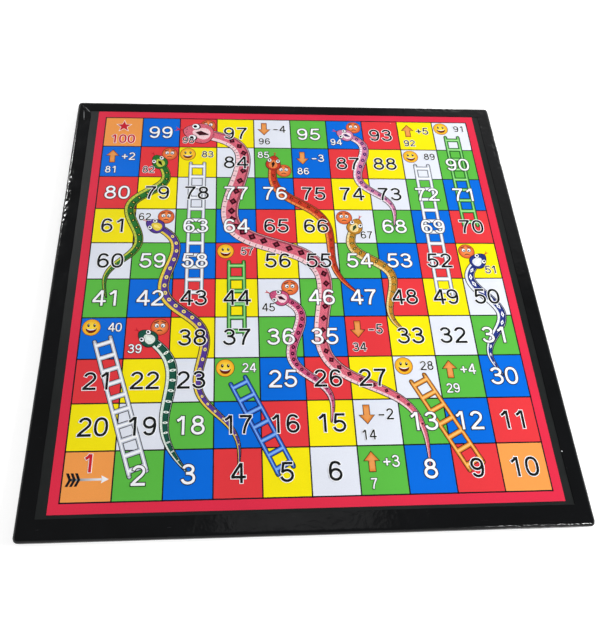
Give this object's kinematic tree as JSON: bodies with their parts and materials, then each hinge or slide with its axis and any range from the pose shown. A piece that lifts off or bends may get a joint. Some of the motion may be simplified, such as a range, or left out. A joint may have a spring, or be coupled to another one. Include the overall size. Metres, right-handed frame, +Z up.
{
  "type": "snakes and ladders board",
  "caption": "Rigid square game board with a numbered colour grid, printed snakes and ladders, a red border and gloss black taped edges.",
  "frame": {"origin": "centre of the board on the plane that it rests on", "axes": "+X along the near edge to the player's right, +Y away from the player, +Z up out of the printed face"},
  "size_m": [0.405, 0.395, 0.0104],
  "materials": {
    "panel": "raw fibreboard, hidden under the sheets and the tape",
    "print_black": "black ground of the laminated print",
    "backing": "plain dark backing sheet",
    "tape_black": "gloss black binding tape, slightly wavy",
    "ink_border": "crimson print under gloss film",
    "ink_yellow": "yellow print under gloss film",
    "ink_white": "white print under gloss film",
    "ink_green": "green print under gloss film",
    "ink_blue": "blue print under gloss film",
    "ink_red": "red print under gloss film",
    "ink_orange": "orange print under gloss film",
    "ladder_white": "white print under gloss film",
    "ladder_green": "green print under gloss film",
    "ladder_blue": "blue print under gloss film",
    "ladder_orange": "orange print under gloss film",
    "snake_pink": "pink print under gloss film",
    "snake_purple": "purple print under gloss film",
    "snake_green": "green print under gloss film",
    "snake_red": "orange-red print under gloss film",
    "snake_navy": "navy print under gloss film",
    "snake_teal": "dark green print under gloss film",
    "snake_rose": "rose print under gloss film",
    "snake_lilac": "pale pink print under gloss film",
    "snake_amber": "ochre print under gloss film"
  },
  "bodies": {
    "root": {"core_panel": "panel", "print_sheet": "print_black", "backing_sheet": "backing", "binding_near": "tape_black", "binding_far": "tape_black", "binding_left": "tape_black", "binding_right": "tape_black", "border_red": "ink_border", "squares_yellow": "ink_yellow", "squares_white": "ink_white", "squares_green": "ink_green", "squares_blue": "ink_blue", "squares_red": "ink_red", "squares_orange": "ink_orange", "ladders_white": "ladder_white", "ladders_green": "ladder_green", "ladder_blue": "ladder_blue", "ladder_orange": "ladder_orange", "snake_long_pink": "snake_pink", "snake_purple": "snake_purple", "snake_green": "snake_green", "snake_red": "snake_red", "snake_navy": "snake_navy", "snake_teal": "snake_teal", "snake_rose": "snake_rose", "snake_lilac": "snake_lilac", "snake_amber": "snake_amber"}
  },
  "joints": []
}
